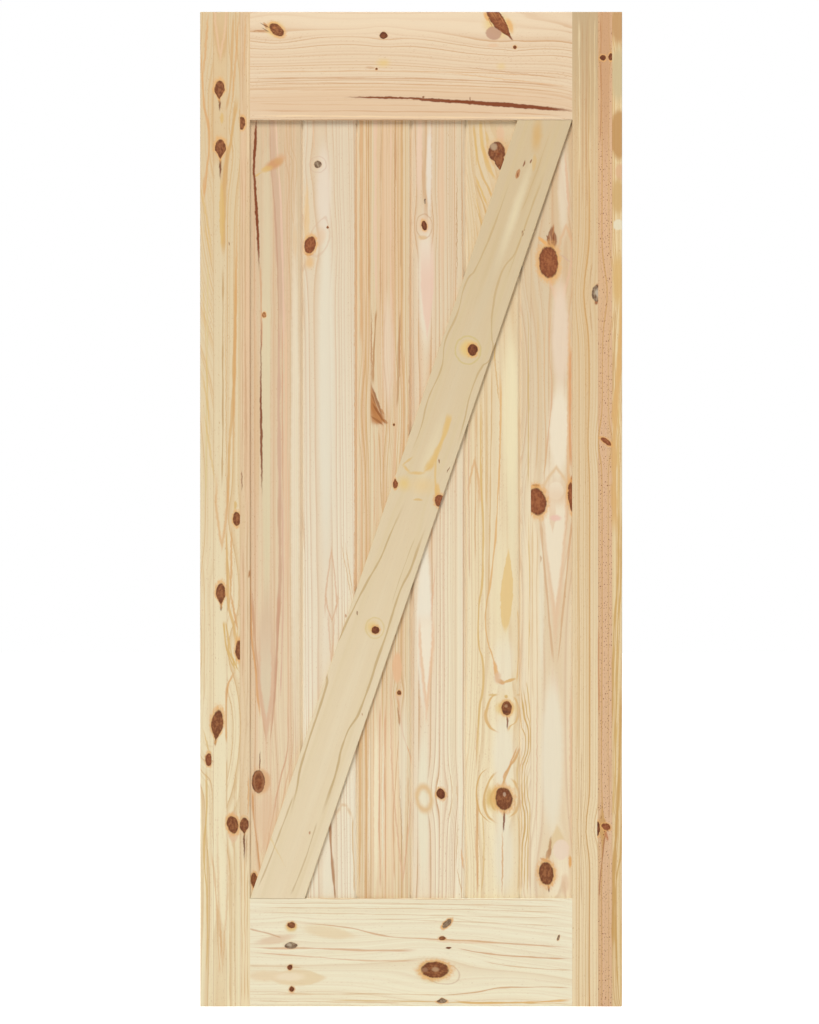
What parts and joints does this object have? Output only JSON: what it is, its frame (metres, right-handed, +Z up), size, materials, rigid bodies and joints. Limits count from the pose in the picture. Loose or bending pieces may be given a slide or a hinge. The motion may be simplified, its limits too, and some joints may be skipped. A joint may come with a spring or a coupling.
{
  "type": "sliding barn door",
  "caption": "Sliding barn door slab in bare knotty pine: stiles and rails round a panel of V-jointed planks, with a flush diagonal brace across the front.",
  "frame": {"origin": "middle of the slab's bottom edge, half way through its thickness", "axes": "+X to the right seen from the front, -Y out of the front face, +Z up the door"},
  "size_m": [0.905, 0.035, 2.1336],
  "materials": {
    "stile_pine": "bare knotty pine, planed and sanded, glued from narrow staves, grain upright",
    "rail_pine": "bare knotty pine, planed and sanded, grain level",
    "plank_pine": "bare knotty pine, planed and sanded, grain upright",
    "brace_pine": "bare knotty pine, planed and sanded, grain along the brace",
    "dowel_beech": "plain beech, fluted",
    "brad_steel": "bright drawn wire"
  },
  "bodies": {
    "root": {"left_stile": "stile_pine", "right_stile": "stile_pine", "top_rail": "rail_pine", "bottom_rail": "rail_pine", "plank_1": "plank_pine", "plank_2": "plank_pine", "plank_3": "plank_pine", "plank_4": "plank_pine", "plank_5": "plank_pine", "plank_6": "plank_pine", "diagonal_brace": "brace_pine", "dowel_bottom_left_1": "dowel_beech", "dowel_bottom_left_2": "dowel_beech", "dowel_bottom_left_3": "dowel_beech", "dowel_bottom_right_1": "dowel_beech", "dowel_bottom_right_2": "dowel_beech", "dowel_bottom_right_3": "dowel_beech", "dowel_top_left_1": "dowel_beech", "dowel_top_left_2": "dowel_beech", "dowel_top_left_3": "dowel_beech", "dowel_top_right_1": "dowel_beech", "dowel_top_right_2": "dowel_beech", "dowel_top_right_3": "dowel_beech", "brace_brads": "brad_steel"}
  },
  "joints": []
}
